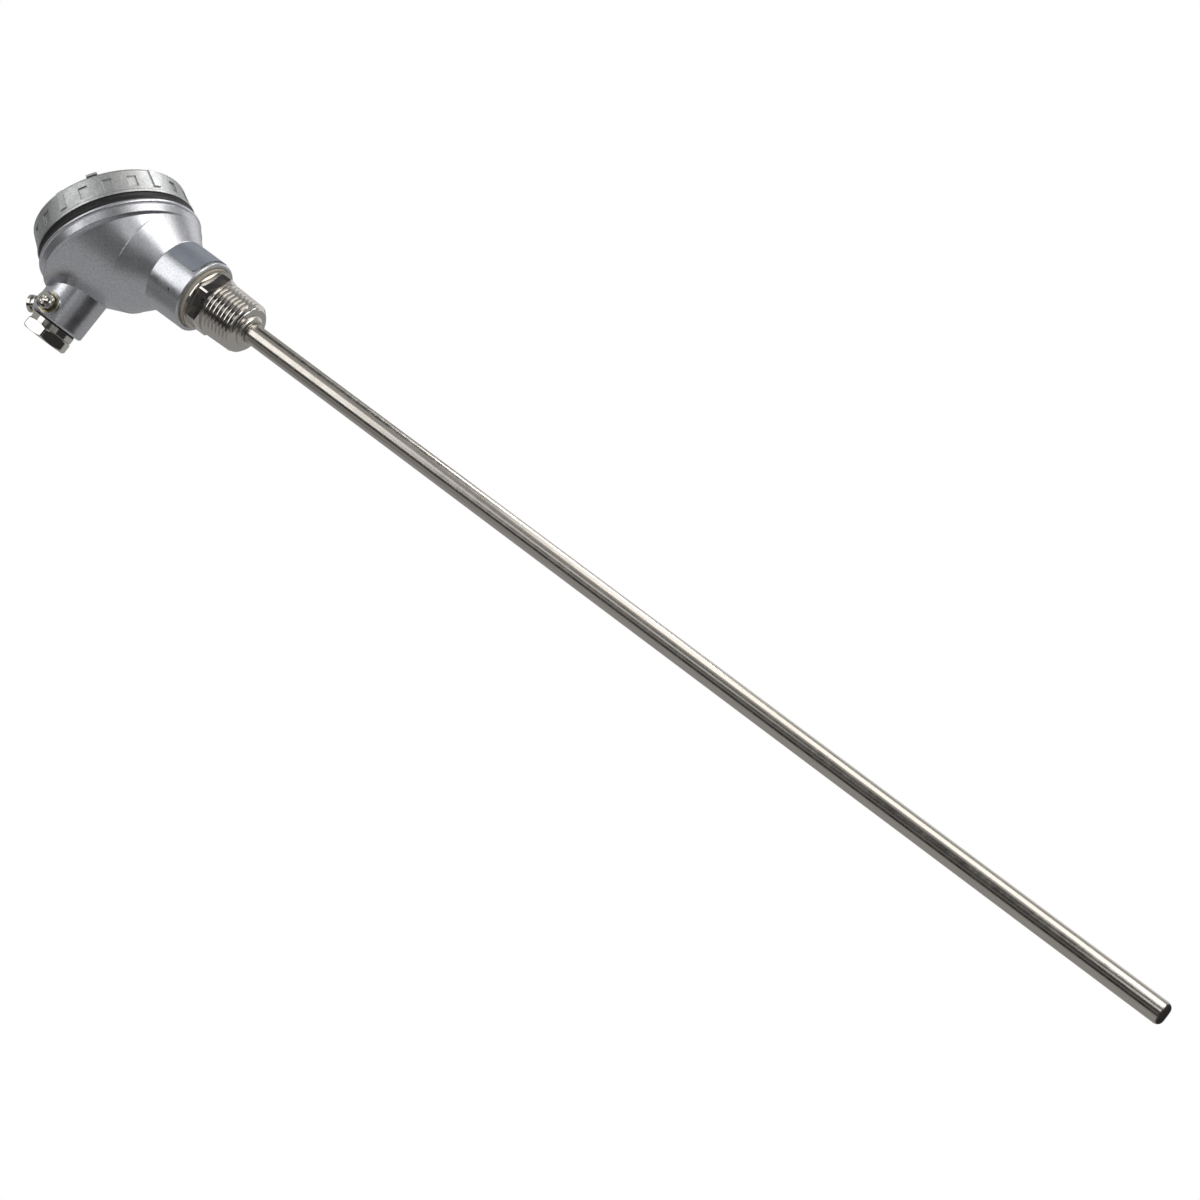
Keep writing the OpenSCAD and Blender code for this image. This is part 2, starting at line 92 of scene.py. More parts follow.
# ---------------------------------------------------------------------------
# Studio
# The eye sees a white surround. Polished metal mirrors a mid grey room instead,
# with dark gaps and seven softboxes in it, which give the metal its contrast.
mirror_grey = 0.36
ambient_grey = 0.45


def linear(hex_colour):
    """The linear value of an sRGB hex colour."""
    channels = [int(hex_colour[i : i + 2], 16) / 255 for i in (1, 3, 5)]
    return [c / 12.92 if c <= 0.04045 else ((c + 0.055) / 1.055) ** 2.4 for c in channels] + [1]


def add(tree, kind, inputs=None, **settings):
    """Adds one shader node with its settings, its plain inputs and its linked ones."""
    node = tree.nodes.new(kind)
    for name, value in settings.items():
        setattr(node, name, value)
    for name, value in (inputs or {}).items():
        if isinstance(value, bpy.types.NodeSocket):
            tree.links.new(value, node.inputs[name])
        else:
            node.inputs[name].default_value = value
    return node


world = bpy.data.worlds.new("studio")
world.use_nodes = True
scene.world = world
tree = world.node_tree
tree.nodes.clear()
direction = add(tree, "ShaderNodeTexCoord").outputs["Generated"]
mirror_level = mirror_grey
# Each dark gap: where it lies, the angles in degrees within which it is whole
# and beyond which it is gone, and the share of the grey that it leaves
for gap_side, whole, gone, share in (
    ((0.58, 0.61, 0.54), 8, 14, 0.1),
    ((0.65, 0.72, 0.26), 8, 16, 0.1),
    ((0.67, 0.74, 0.03), 8, 16, 0.1),
    ((-0.05, 1.0, 0.02), 20, 36, 0.12),
    ((-0.83, 0.16, 0.54), 10, 18, 0.15),
    ((0.02, 0.25, -0.97), 7, 12, 0.1),
    ((0.42, 0.66, -0.62), 12, 34, 0.3),
    ((0.65, 0.10, 0.75), 10, 30, 0.3),
):
    facing = add(
        tree, "ShaderNodeVectorMath",
        {0: direction, 1: Vector(gap_side).normalized()},
        operation="DOT_PRODUCT",
    )
    dimming = add(
        tree, "ShaderNodeMapRange",
        {
            "Value": facing.outputs["Value"],
            "From Min": math.cos(math.radians(gone)),
            "From Max": math.cos(math.radians(whole)),
            "To Min": 1.0,
            "To Max": share,
        },
        interpolation_type="SMOOTHSTEP",
    )
    dimmed = add(
        tree, "ShaderNodeMath",
        {0: mirror_level, 1: dimming.outputs["Result"]},
        operation="MULTIPLY",
    )
    mirror_level = dimmed.outputs["Value"]
rays = add(tree, "ShaderNodeLightPath")
room = add(tree, "ShaderNodeBackground", {"Color": (1, 1, 1, 1), "Strength": mirror_level})
ambient = add(tree, "ShaderNodeBackground", {"Color": (1, 1, 1, 1), "Strength": ambient_grey})
white = add(tree, "ShaderNodeBackground", {"Color": (1, 1, 1, 1), "Strength": 1})
mirrored = add(
    tree, "ShaderNodeMixShader",
    {0: rays.outputs["Is Glossy Ray"], 1: ambient.outputs[0], 2: room.outputs[0]},
)
seen = add(
    tree, "ShaderNodeMixShader",
    {0: rays.outputs["Is Camera Ray"], 1: mirrored.outputs[0], 2: white.outputs[0]},
)
add(tree, "ShaderNodeOutputWorld", {"Surface": seen.outputs[0]})


def softbox(name, centre, aim, width, height, strength, colour="#ffffff"):
    """A rectangular area light at centre, facing aim, its height along the probe."""
    data = bpy.data.lights.new(name, "AREA")
    data.shape = "RECTANGLE"
    data.size = width
    data.size_y = height
    data.energy = strength * width * height
    data.color = linear(colour)[:3]
    lamp = bpy.data.objects.new(name, data)
    scene.collection.objects.link(lamp)
    back = (Vector(centre) - Vector(aim)).normalized()
    right = Vector((0, 0, 1)).cross(back).normalized()
    stand(lamp, Vector(centre), right, back)


softbox("overhead", (-0.89, 0.29, -0.08), (0, 0, -0.12), 0.72, 0.68, 4.5, "#fffcf8")
softbox("beside_head", (0.02, 0.77, 0.62), (0, 0, 0.05), 0.8, 0.55, 4.5)
softbox("beside_sheath", (-0.08, 0.8, 0.12), (0, 0, -0.15), 0.25, 0.35, 2)
softbox("below_head", (-0.7, 0.45, -0.54), (0, 0, 0.045), 0.66, 0.38, 9)
softbox("near_camera", (-0.15, 0.92, -0.42), (0, 0, 0.055), 0.28, 0.22, 4)
softbox("behind", (-0.6, -0.75, -0.1), (0, 0, 0), 0.6, 0.9, 1.5)
softbox("edge_light", (-0.95, -0.2, 0.22), (0, 0, 0.06), 0.25, 0.25, 20)

# ---------------------------------------------------------------------------
# Floor
# A pale painted disc stands a little below the tip. It is small, so that it
# hides none of the lamps that stand low.
floor_r = 280 * MM
floor_drop = 60 * MM
bpy.ops.object.select_all(action="DESELECT")
bpy.ops.mesh.primitive_circle_add(
    vertices=96, radius=floor_r, fill_type="NGON", location=(0, 0, cad_low[2] - floor_drop)
)
floor = bpy.context.object
floor.name = "floor"


def begin(name):
    """A new material, its cleared node tree and Object coordinates for its patterns."""
    material = bpy.data.materials.new(name)
    material.use_nodes = True
    tree = material.node_tree
    tree.nodes.clear()
    place = add(tree, "ShaderNodeTexCoord").outputs["Object"]
    return material, tree, place


def coat(material, shader, *pieces):
    """Ends a material in this shader, and gives pieces this material and no other."""
    add(material.node_tree, "ShaderNodeOutputMaterial", {"Surface": shader.outputs[0]})
    for piece in pieces:
        piece.data.materials.clear()
        piece.data.materials.append(material)


# Matt white paint: an even pale ground that keeps the probe's shadow. The eye
# sees it a little brighter than it is lit, and metal mirrors it dark. A
# pattern's scale is in cells a metre, so 0.4 / MM is 0.4 cells a millimetre:
# the roller's marks are 2.5 mm wide.
paint, tree, place = begin("matt_floor_paint")
roller = add(tree, "ShaderNodeTexNoise", {"Vector": place, "Scale": 0.4 / MM, "Detail": 2})
stipple = add(
    tree, "ShaderNodeBump",
    {"Height": roller.outputs["Fac"], "Strength": 0.1, "Distance": 0.1 * MM},
)
matt = add(
    tree, "ShaderNodeBsdfDiffuse",
    {"Color": linear("#f0f0ef"), "Normal": stipple.outputs["Normal"]},
)
dark_matt = add(tree, "ShaderNodeBsdfDiffuse", {"Color": linear("#404040")})
glow = add(tree, "ShaderNodeEmission", {"Color": (1, 1, 1, 1), "Strength": 0.3})
bright_matt = add(tree, "ShaderNodeAddShader", {0: matt.outputs[0], 1: glow.outputs[0]})
rays = add(tree, "ShaderNodeLightPath")
seen = add(
    tree, "ShaderNodeMixShader",
    {0: rays.outputs["Is Camera Ray"], 1: matt.outputs[0], 2: bright_matt.outputs[0]},
)
shown = add(
    tree, "ShaderNodeMixShader",
    {0: rays.outputs["Is Glossy Ray"], 1: seen.outputs[0], 2: dark_matt.outputs[0]},
)
coat(paint, shown, floor)

# ---------------------------------------------------------------------------
# Housing
# The head is one aluminium die casting: neck, bell, leaning cup, rim and
# conduit boss. It is shot-blasted and tumbled, which leaves a satin skin with
# a fine sparkle and rounds its corners.
label_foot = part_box("neck_label")[0][2]
pore_place = Vector((6.0 * MM, 13.2 * MM, label_foot + 4.4 * MM))
# A colour mix node's own sockets: its two colours, and what comes out
colour_a, colour_b, colour_out = 6, 7, 2


# Blasted die-cast aluminium: a pale satin metal. Blasting leaves shallow
# dimples 0.3 mm across, drawn at 0.7 mm so that they show as a fine sparkle.
# The gloss drifts over about 7 mm, one casting pore under 1 mm wide is left in
# the neck, and the tumbled corners catch the light over 0.4 mm.
cast, tree, place = begin("blasted_cast_aluminium")
dimples = add(
    tree, "ShaderNodeTexNoise", {"Vector": place, "Scale": 1.4 / MM, "Detail": 3, "Roughness": 0.6}
)
grains = add(
    tree, "ShaderNodeMapRange",
    {"Value": dimples.outputs["Fac"], "From Min": 0.32, "From Max": 0.62},
)
skin = add(
    tree, "ShaderNodeMix",
    {0: grains.outputs["Result"], colour_a: linear("#c1c2c7"), colour_b: linear("#dadbdf")},
    data_type="RGBA",
)
from_pore = add(tree, "ShaderNodeVectorMath", {0: place, 1: pore_place}, operation="DISTANCE")
pore = add(
    tree, "ShaderNodeMapRange",
    {"Value": from_pore.outputs["Value"], "From Min": 0.25 * MM, "From Max": 0.45 * MM},
)
pored = add(
    tree, "ShaderNodeMix",
    {0: pore.outputs["Result"], colour_a: linear("#2c2c2f"), colour_b: skin.outputs[colour_out]},
    data_type="RGBA",
)
patches = add(tree, "ShaderNodeTexNoise", {"Vector": place, "Scale": 0.15 / MM, "Detail": 2})
gloss = add(
    tree, "ShaderNodeMapRange",
    {
        "Value": patches.outputs["Fac"],
        "From Min": 0.3,
        "From Max": 0.7,
        "To Min": 0.27,
        "To Max": 0.35,
    },
)
corners = add(tree, "ShaderNodeBevel", {"Radius": 0.4 * MM}, samples=6)
relief = add(
    tree, "ShaderNodeBump",
    {
        "Height": dimples.outputs["Fac"],
        "Strength": 0.3,
        "Distance": 0.06 * MM,
        "Normal": corners.outputs["Normal"],
    },
)
shader = add(
    tree, "ShaderNodeBsdfPrincipled",
    {
        "Base Color": pored.outputs[colour_out],
        "Metallic": 1,
        "Roughness": gloss.outputs["Result"],
        "Normal": relief.outputs["Normal"],
    },
)
coat(cast, shader, nodes["housing"])

# ---------------------------------------------------------------------------
# Cap
# The screw cap is a separate die casting with moulded grip pockets and ribs.
# It is blasted but not tumbled, so it stays duller and coarser than the head.

# Blasted cast aluminium, dull: an even matt grey with grains 0.8 mm across
# that catch the light one by one. The gloss drifts over 4.5 mm, and the
# corners catch the light over 0.3 mm.
cap_cast, tree, place = begin("dull_cast_aluminium")
grit = add(
    tree, "ShaderNodeTexNoise", {"Vector": place, "Scale": 1.25 / MM, "Detail": 3, "Roughness": 0.7}
)
grains = add(
    tree, "ShaderNodeMapRange", {"Value": grit.outputs["Fac"], "From Min": 0.3, "From Max": 0.66}
)
skin = add(
    tree, "ShaderNodeMix",
    {0: grains.outputs["Result"], colour_a: linear("#aaacac"), colour_b: linear("#cecfcf")},
    data_type="RGBA",
)
patches = add(tree, "ShaderNodeTexNoise", {"Vector": place, "Scale": 0.22 / MM, "Detail": 3})
gloss = add(
    tree, "ShaderNodeMapRange",
    {
        "Value": patches.outputs["Fac"],
        "From Min": 0.3,
        "From Max": 0.7,
        "To Min": 0.36,
        "To Max": 0.5,
    },
)
corners = add(tree, "ShaderNodeBevel", {"Radius": 0.3 * MM}, samples=6)
relief = add(
    tree, "ShaderNodeBump",
    {
        "Height": grit.outputs["Fac"],
        "Strength": 0.5,
        "Distance": 0.08 * MM,
        "Normal": corners.outputs["Normal"],
    },
)
shader = add(
    tree, "ShaderNodeBsdfPrincipled",
    {
        "Base Color": skin.outputs[colour_out],
        "Metallic": 1,
        "Roughness": gloss.outputs["Result"],
        "Normal": relief.outputs["Normal"],
    },
)
coat(cap_cast, shader, nodes["cap"])

# ---------------------------------------------------------------------------
# Seals
# A moulded ring of nitrile rubber is squeezed between the cap and the rim, and
# a thinner one under the gland screw's collar.

# Nitrile rubber: black, with the soft grey sheen of a moulded skin and a
# little dust in its grain of 0.5 mm.
nitrile, tree, place = begin("nitrile_rubber")
dust = add(tree, "ShaderNodeTexNoise", {"Vector": place, "Scale": 2 / MM, "Detail": 2})
bloom = add(
    tree, "ShaderNodeMapRange", {"Value": dust.outputs["Fac"], "From Min": 0.45, "From Max": 0.75}
)
skin = add(
    tree, "ShaderNodeMix",
    {0: bloom.outputs["Result"], colour_a: linear("#0c0c0d"), colour_b: linear("#2a2a2c")},
    data_type="RGBA",
)
relief = add(
    tree, "ShaderNodeBump", {"Height": dust.outputs["Fac"], "Strength": 0.3, "Distance": 0.05 * MM}
)
shader = add(
    tree, "ShaderNodeBsdfPrincipled",
    {
        "Base Color": skin.outputs[colour_out],
        "Roughness": 0.48,
        "IOR": 1.52,
        "Normal": relief.outputs["Normal"],
    },
)
coat(nitrile, shader, nodes["cap_gasket"], nodes["gland_seal"])

# ---------------------------------------------------------------------------
# Neck label
# A blank film label is stuck round about a fifth of the neck. Its corners are
# rounded by the cutting die.
film_low, film_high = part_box("neck_label")
film_h = film_high[2] - film_low[2]
film_r = 14.52 * MM
film_t = 0.12 * MM
film_corner_r = 1.2 * MM
film_start = math.radians(108)
film_sweep = math.radians(78)
film_w = film_r * film_sweep
film_strips = 40


def modify(piece, kind, **settings):
    """Gives a piece one modifier with these settings, and applies it."""
    bpy.ops.object.select_all(action="DESELECT")
    piece.select_set(True)
    bpy.context.view_layer.objects.active = piece
    modifier = piece.modifiers.new("change", kind)
    for name, value in settings.items():
        setattr(modifier, name, value)
    bpy.ops.object.modifier_apply(modifier="change")


def turn_faces_out():
    """Turns the faces of the active piece, a closed mesh, outwards."""
    bpy.ops.object.mode_set(mode="EDIT")
    bpy.ops.mesh.select_all(action="SELECT")
    bpy.ops.mesh.normals_make_consistent(inside=False)
    bpy.ops.object.mode_set(mode="OBJECT")


# It is cut flat, divided into strips and then bent round the neck
bpy.ops.object.select_all(action="DESELECT")
bpy.ops.mesh.primitive_plane_add(
    size=1, location=(film_w / 2, 0, film_low[2] + film_h / 2), rotation=(math.pi / 2, 0, 0)
)
film = bpy.context.object
film.name = "label_film"
film.scale = (film_w, film_h, 1)
bpy.ops.object.transform_apply()
bpy.ops.object.mode_set(mode="EDIT")
bpy.ops.mesh.select_all(action="SELECT")
bpy.ops.mesh.bevel(offset=film_corner_r, segments=5, affect="VERTICES")
for strip in range(1, film_strips):
    bpy.ops.mesh.select_all(action="SELECT")
    bpy.ops.mesh.bisect(plane_co=(film_w * strip / film_strips, 0, 0), plane_no=(1, 0, 0))
bpy.ops.object.mode_set(mode="OBJECT")
for vertex in film.data.vertices:
    angle = film_start + vertex.co.x / film_r
    vertex.co = (film_r * math.cos(angle), film_r * math.sin(angle), vertex.co.z)
modify(film, "SOLIDIFY", thickness=film_t, offset=1)
turn_faces_out()
bpy.ops.object.shade_smooth_by_angle(angle=math.radians(40))

# Satin polyester film over a silvered back: a cool grey that mirrors softly,
# with the print area left bare and a faint unevenness 3 mm across.
polyester, tree, place = begin("satin_polyester_film")
lay = add(tree, "ShaderNodeTexNoise", {"Vector": place, "Scale": 0.33 / MM, "Detail": 2})
tone = add(
    tree, "ShaderNodeMix",
    {0: lay.outputs["Fac"], colour_a: linear("#8b919d"), colour_b: linear("#a0a6b1")},
    data_type="RGBA",
)
relief = add(
    tree, "ShaderNodeBump", {"Height": lay.outputs["Fac"], "Strength": 0.25, "Distance": 0.1 * MM}
)
shader = add(
    tree, "ShaderNodeBsdfPrincipled",
    {
        "Base Color": tone.outputs[colour_out],
        "Metallic": 0.55,
        "Roughness": 0.34,
        "IOR": 1.57,
        "Normal": relief.outputs["Normal"],
    },
)
coat(polyester, shader, film)
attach(film, "head")
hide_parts("neck_label")

# ---------------------------------------------------------------------------
# Neck washer
# A flat ring of pressed fibre seals the neck on the fitting's shoulder.

# Pressed fibre: a greyed ivory, matt, with short fibres about 1 mm long in it.
fibre, tree, place = begin("pressed_fibre")
strand = add(
    tree, "ShaderNodeTexNoise", {"Vector": place, "Scale": 1 / MM, "Detail": 4, "Distortion": 1.5}
)
tone = add(
    tree, "ShaderNodeMix",
    {0: strand.outputs["Fac"], colour_a: linear("#8c877a"), colour_b: linear("#bdb7a8")},
    data_type="RGBA",
)
shader = add(
    tree, "ShaderNodeBsdfPrincipled",
    {"Base Color": tone.outputs[colour_out], "Roughness": 0.62, "IOR": 1.5},
)
coat(fibre, shader, nodes["neck_washer"])

# ---------------------------------------------------------------------------
# Process fitting
# It is turned from hexagon bar: a half-inch taper thread below, the hexagon,
# a shoulder, and the thread that screws into the neck. All four are one piece
# of stainless steel, welded to the sheath below.
fitting_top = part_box("hex_nipple")[1][2]
bore_r = 3.58 * MM
thread_len = 15.4 * MM
thread_end_r = 8.6 * MM
pitch = 1.814 * MM
crest_r = 10.65 * MM
root_r = 9.55 * MM
taper = 1 / 16
relief_len = 0.9 * MM
merge_gap = 0.002 * MM
bisect_gap = 0.0001 * MM


def fuse(target, tool, operation):
    """Applies a boolean of tool to target and deletes tool."""
    modify(target, "BOOLEAN", operation=operation, solver="EXACT", object=tool)
    bpy.data.objects.remove(tool, do_unlink=True)


def drill(target):
    """Cuts the fitting's bore through target."""
    bpy.ops.mesh.primitive_cylinder_add(
        vertices=64, radius=bore_r, depth=100 * MM, location=(0, 0, 0)
    )
    fuse(target, bpy.context.object, "DIFFERENCE")


def break_edges(piece, width, segments, least_angle):
    """Bevels a piece's edges that turn by more than least_angle degrees."""
    modify(
        piece, "BEVEL",
        width=width, segments=segments, limit_method="ANGLE", angle_limit=math.radians(least_angle),
    )


# One tooth of the thread, as radii and parts of a pitch, is screwed upwards
tooth = (
    (root_r, 0.0), (root_r, 0.1), (crest_r, 0.42), (crest_r, 0.58), (root_r, 0.9), (root_r, 1.0)
)
outline = bpy.data.meshes.new("process_thread")
outline.from_pydata(
    [(r, 0, (share - 2) * pitch) for r, share in tooth],
    [(i, i + 1) for i in range(len(tooth) - 1)],
    [],
)
thread = bpy.data.objects.new("process_thread", outline)
scene.collection.objects.link(thread)
modify(
    thread, "SCREW",
    axis="Z", angle=2 * math.pi, screw_offset=pitch, iterations=12, steps=72, render_steps=72,
    use_merge_vertices=True, merge_threshold=merge_gap,
)
bpy.ops.object.mode_set(mode="EDIT")
bpy.ops.mesh.select_all(action="SELECT")
bpy.ops.mesh.remove_doubles(threshold=merge_gap)
# It is cut level under the hexagon and a little past the end face
for height, way in ((thread_len, 1), (-0.5 * MM, -1)):
    bpy.ops.mesh.select_all(action="SELECT")
    bpy.ops.mesh.bisect(
        plane_co=(0, 0, height), plane_no=(0, 0, way),
        use_fill=True, clear_outer=True, threshold=bisect_gap,
    )
bpy.ops.object.mode_set(mode="OBJECT")
# The diameter is tapered, and the thread ends in a plain relief at the top
for vertex in thread.data.vertices:
    x, y, z = vertex.co
    r = math.hypot(x, y)
    straight_r = root_r if z > thread_len - relief_len else r
    wanted = straight_r - (thread_len - z) * taper / 2
    vertex.co = (x * wanted / r, y * wanted / r, z)
turn_faces_out()
# The end is turned off at 45 degrees
end_cone_h = thread_len + 1 * MM
bpy.ops.mesh.primitive_cone_add(
    vertices=96, radius1=thread_end_r, radius2=thread_end_r + end_cone_h, depth=end_cone_h,
    location=(0, 0, end_cone_h / 2),
)
fuse(thread, bpy.context.object, "INTERSECT")
drill(thread)
break_edges(thread, width=0.12 * MM, segments=2, least_angle=42)
bpy.ops.object.shade_smooth_by_angle(angle=math.radians(35))

# The hexagon, with its corners turned off at 30 degrees top and bottom
hex_h = 5.9 * MM
hex_z = thread_len + hex_h / 2
hex_flat_r = 10.5 * MM
hex_corner_r = 11.9 * MM
hex_turn = math.radians(8)
chamfer_r = 10.3 * MM
chamfer_rise = hex_h / math.tan(math.radians(30))
bpy.ops.object.select_all(action="DESELECT")
bpy.ops.mesh.primitive_cylinder_add(
    vertices=6, radius=hex_flat_r / math.cos(math.pi / 6), depth=hex_h,
    location=(0, 0, hex_z), rotation=(0, 0, hex_turn),
)
hexagon = bpy.context.object
hexagon.name = "hexagon"
bpy.ops.object.transform_apply()
for low_r, high_r in (
    (chamfer_r, chamfer_r + chamfer_rise),
    (chamfer_r + chamfer_rise, chamfer_r),
):
    bpy.ops.object.select_all(action="DESELECT")
    bpy.ops.mesh.primitive_cone_add(
        vertices=180, radius1=low_r, radius2=high_r, depth=hex_h, location=(0, 0, hex_z)
    )
    fuse(hexagon, bpy.context.object, "INTERSECT")
bpy.ops.mesh.primitive_cylinder_add(
    vertices=180, radius=hex_corner_r, depth=2 * hex_h, location=(0, 0, hex_z)
)
fuse(hexagon, bpy.context.object, "INTERSECT")
drill(hexagon)
break_edges(hexagon, width=0.22 * MM, segments=3, least_angle=20)
bpy.ops.object.shade_smooth_by_angle(angle=math.radians(30))

# The shoulder and the upper thread, which the neck hides, with a funnel for the
# wires at the top of the bore
stub_z = thread_len + hex_h
stub_h = fitting_top - stub_z
stub_r = 10.3 * MM
shoulder_r = 12.1 * MM
shoulder_h = 0.8 * MM
funnel_h = 3 * MM
past_funnel = 1 * MM
past_top = 0.1 * MM
bpy.ops.object.select_all(action="DESELECT")
bpy.ops.mesh.primitive_cylinder_add(
    vertices=96, radius=stub_r, depth=stub_h, location=(0, 0, stub_z + stub_h / 2)
)
stub = bpy.context.object
stub.name = "neck_stub"
bpy.ops.object.transform_apply()
bpy.ops.mesh.primitive_cylinder_add(
    vertices=96, radius=shoulder_r, depth=shoulder_h, location=(0, 0, stub_z + shoulder_h / 2)
)
fuse(stub, bpy.context.object, "UNION")
drill(stub)
bpy.ops.mesh.primitive_cone_add(
    vertices=64, radius1=bore_r - past_funnel, radius2=bore_r + funnel_h + past_top,
    depth=past_funnel + funnel_h + past_top,
    location=(0, 0, fitting_top - (past_funnel + funnel_h - past_top) / 2),
)
fuse(stub, bpy.context.object, "DIFFERENCE")
bpy.ops.object.shade_smooth_by_angle(angle=math.radians(30))

# Turned stainless steel: bright and slightly warm. The tool leaves fine rings
# round the axis, 0.2 mm apart in the real one and drawn at 0.5 mm, and wiping
# leaves faint smears about 4 mm across.
turned, tree, place = begin("turned_stainless_steel")
heights = add(tree, "ShaderNodeSeparateXYZ", {"Vector": place})
along = add(tree, "ShaderNodeCombineXYZ", {"Z": heights.outputs["Z"]})
rings = add(
    tree, "ShaderNodeTexNoise", {"Vector": along.outputs["Vector"], "Scale": 2 / MM, "Detail": 2}
)
smears = add(tree, "ShaderNodeTexNoise", {"Vector": place, "Scale": 0.25 / MM, "Detail": 3})
gloss = add(
    tree, "ShaderNodeMapRange",
    {
        "Value": smears.outputs["Fac"],
        "From Min": 0.35,
        "From Max": 0.7,
        "To Min": 0.1,
        "To Max": 0.2,
    },
)
relief = add(
    tree, "ShaderNodeBump",
    {"Height": rings.outputs["Fac"], "Strength": 0.12, "Distance": 0.03 * MM},
)
shader = add(
    tree, "ShaderNodeBsdfPrincipled",
    {
        "Base Color": linear("#d3cfca"),
        "Metallic": 1,
        "Roughness": gloss.outputs["Result"],
        "Normal": relief.outputs["Normal"],
    },
)
coat(turned, shader, thread, hexagon, stub)

# The weld bead that closes the fitting on the sheath. The side that shows has
# sixteen faint ripples where the torch paused, and is fuller on two sides.
bead_r = 4.6 * MM
bead_inner_r = 3.52 * MM
bead_t = 1.7 * MM
bead_z = 0.1 * MM
bead_shown_z = 0.5 * MM
bead_swell = 0.03
bpy.ops.object.select_all(action="DESELECT")
bpy.ops.mesh.primitive_torus_add(
    major_radius=bead_r, minor_radius=bead_t, major_segments=144, minor_segments=28,
    location=(0, 0, bead_z),
)
bead = bpy.context.object
bead.name = "weld_bead"
bpy.ops.object.transform_apply()
for vertex in bead.data.vertices:
    x, y, z = vertex.co
    angle = math.atan2(y, x)
    ripple = 0.25 * math.sin(16 * angle + 1.5 * math.sin(3 * angle)) + math.sin(2 * angle + 0.6)
    swell = 1 + (bead_swell * ripple if z < bead_shown_z else 0)
    r = max(bead_r + (math.hypot(x, y) - bead_r) * swell, bead_inner_r)
    z = bead_z + (z - bead_z) * swell
    vertex.co = (r * math.cos(angle), r * math.sin(angle), z)
bpy.ops.object.shade_smooth()

# Brushed weld: the same steel, brushed to a soft rough shine, with marks about
# 1 mm across and a faint straw tint from the heat.
weld, tree, place = begin("brushed_weld")
marks = add(tree, "ShaderNodeTexNoise", {"Vector": place, "Scale": 0.9 / MM, "Detail": 3})
tone = add(
    tree, "ShaderNodeMix",
    {0: marks.outputs["Fac"], colour_a: linear("#c2bdb4"), colour_b: linear("#e2dfd9")},
    data_type="RGBA",
)
relief = add(
    tree, "ShaderNodeBump", {"Height": marks.outputs["Fac"], "Strength": 0.2, "Distance": 0.04 * MM}
)
shader = add(
    tree, "ShaderNodeBsdfPrincipled",
    {
        "Base Color": tone.outputs[colour_out],
        "Metallic": 1,
        "Roughness": 0.27,
        "Normal": relief.outputs["Normal"],
    },
)
coat(weld, shader, bead)

for piece in (thread, hexagon, stub, bead):
    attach(piece, "head")
    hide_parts("hex_nipple")

# ---------------------------------------------------------------------------
# Sheath
# A drawn stainless tube, 8 mm across, closed and rounded at its tip, polished
# lengthwise with a belt.

# Belt-polished stainless steel: long soft streaks about 0.4 mm wide run along
# the tube, and light handling marks 3 mm across break up its gloss.
polished, tree, place = begin("belt_polished_stainless_steel")
stretched = add(tree, "ShaderNodeMapping", {"Vector": place, "Scale": (1, 1, 0.02)})
streaks = add(
    tree, "ShaderNodeTexNoise",
    {"Vector": stretched.outputs["Vector"], "Scale": 2.5 / MM, "Detail": 2},
)
tone = add(
    tree, "ShaderNodeMix",
    {0: streaks.outputs["Fac"], colour_a: linear("#beb8b0"), colour_b: linear("#dad5ce")},
    data_type="RGBA",
)
marks = add(
    tree, "ShaderNodeTexNoise", {"Vector": place, "Scale": 0.35 / MM, "Detail": 4, "Roughness": 0.6}
)
gloss = add(
    tree, "ShaderNodeMapRange",
    {
        "Value": marks.outputs["Fac"],
        "From Min": 0.35,
        "From Max": 0.7,
        "To Min": 0.17,
        "To Max": 0.26,
    },
)
relief = add(
    tree, "ShaderNodeBump",
    {"Height": streaks.outputs["Fac"], "Strength": 0.12, "Distance": 0.03 * MM},
)
shader = add(
    tree, "ShaderNodeBsdfPrincipled",
    {
        "Base Color": tone.outputs[colour_out],
        "Metallic": 1,
        "Roughness": gloss.outputs["Result"],
        "Normal": relief.outputs["Normal"],
    },
)
coat(polished, shader, nodes["sheath"])

# ---------------------------------------------------------------------------
# Gland and plated screws
# A hollow hexagon screw of nickel-plated brass presses a washer on a rubber
# grommet in the conduit boss. The two outer screws, the side screw's washers
# and the terminal block's screws have the same bright plating.

# Bright nickel plate: a near mirror, slightly warm, with specks under 0.5 mm
# where the plating is thin and a haze that drifts over 2 mm. Its corners catch
# the light over 0.2 mm.
nickel, tree, place = begin("bright_nickel_plate")
specks = add(tree, "ShaderNodeTexVoronoi", {"Vector": place, "Scale": 0.7 / MM})
thin = add(
    tree, "ShaderNodeMapRange",
    {"Value": specks.outputs["Distance"], "From Min": 0.08, "From Max": 0.16},
)
tone = add(
    tree, "ShaderNodeMix",
    {0: thin.outputs["Result"], colour_a: linear("#a8a49b"), colour_b: linear("#dbd8d1")},
    data_type="RGBA",
)
haze = add(tree, "ShaderNodeTexNoise", {"Vector": place, "Scale": 0.5 / MM, "Detail": 3})
gloss = add(
    tree, "ShaderNodeMapRange",
    {
        "Value": haze.outputs["Fac"],
        "From Min": 0.35,
        "From Max": 0.7,
        "To Min": 0.06,
        "To Max": 0.14,
    },
)
corners = add(tree, "ShaderNodeBevel", {"Radius": 0.2 * MM}, samples=6)
relief = add(
    tree, "ShaderNodeBump",
    {
        "Height": haze.outputs["Fac"],
        "Strength": 0.12,
        "Distance": 0.05 * MM,
        "Normal": corners.outputs["Normal"],
    },
)
shader = add(
    tree, "ShaderNodeBsdfPrincipled",
    {
        "Base Color": tone.outputs[colour_out],
        "Metallic": 1,
        "Roughness": gloss.outputs["Result"],
        "Normal": relief.outputs["Normal"],
    },
)
